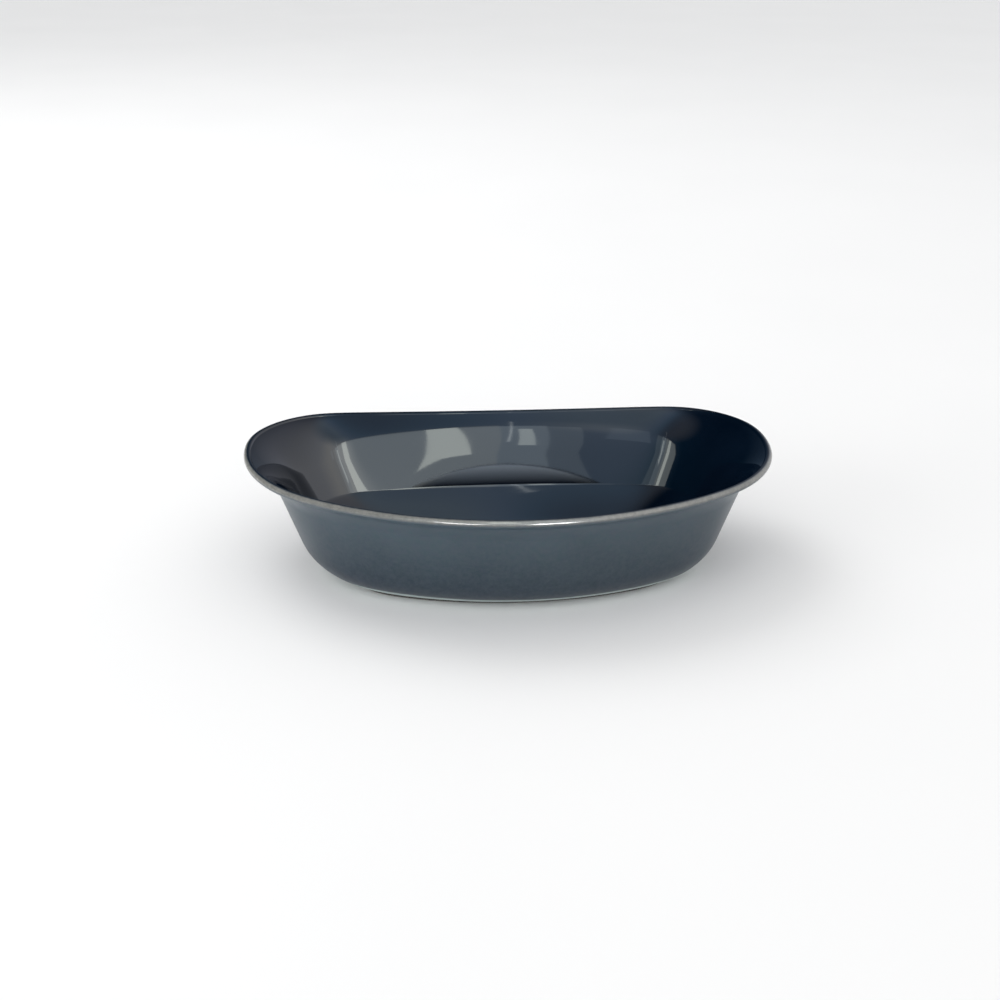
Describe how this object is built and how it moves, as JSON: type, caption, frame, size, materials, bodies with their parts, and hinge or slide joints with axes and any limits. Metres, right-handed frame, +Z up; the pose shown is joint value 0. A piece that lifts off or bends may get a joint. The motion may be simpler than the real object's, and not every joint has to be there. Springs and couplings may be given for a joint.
{
  "type": "kidney dish",
  "caption": "Open kidney-shaped stoneware dish with a flared, rounded lip and an oval foot ring, glazed inside and out.",
  "frame": {"origin": "middle of the oval face of the foot ring that the dish stands on", "axes": "+X along the length, +Y towards the straight, slightly hollow edge of the rim, +Z up out of the bowl"},
  "size_m": [0.254, 0.1414, 0.054],
  "materials": {
    "stoneware": "matte",
    "bare_foot": "matte",
    "inner_glaze": "gloss",
    "lip_glaze": "gloss",
    "outer_glaze": "satin",
    "base_glaze": "satin"
  },
  "bodies": {
    "root": {"stoneware_body": "stoneware", "foot_ring": "bare_foot", "inner_glaze": "inner_glaze", "lip_glaze": "lip_glaze", "outer_glaze": "outer_glaze", "base_glaze": "base_glaze"}
  },
  "joints": []
}
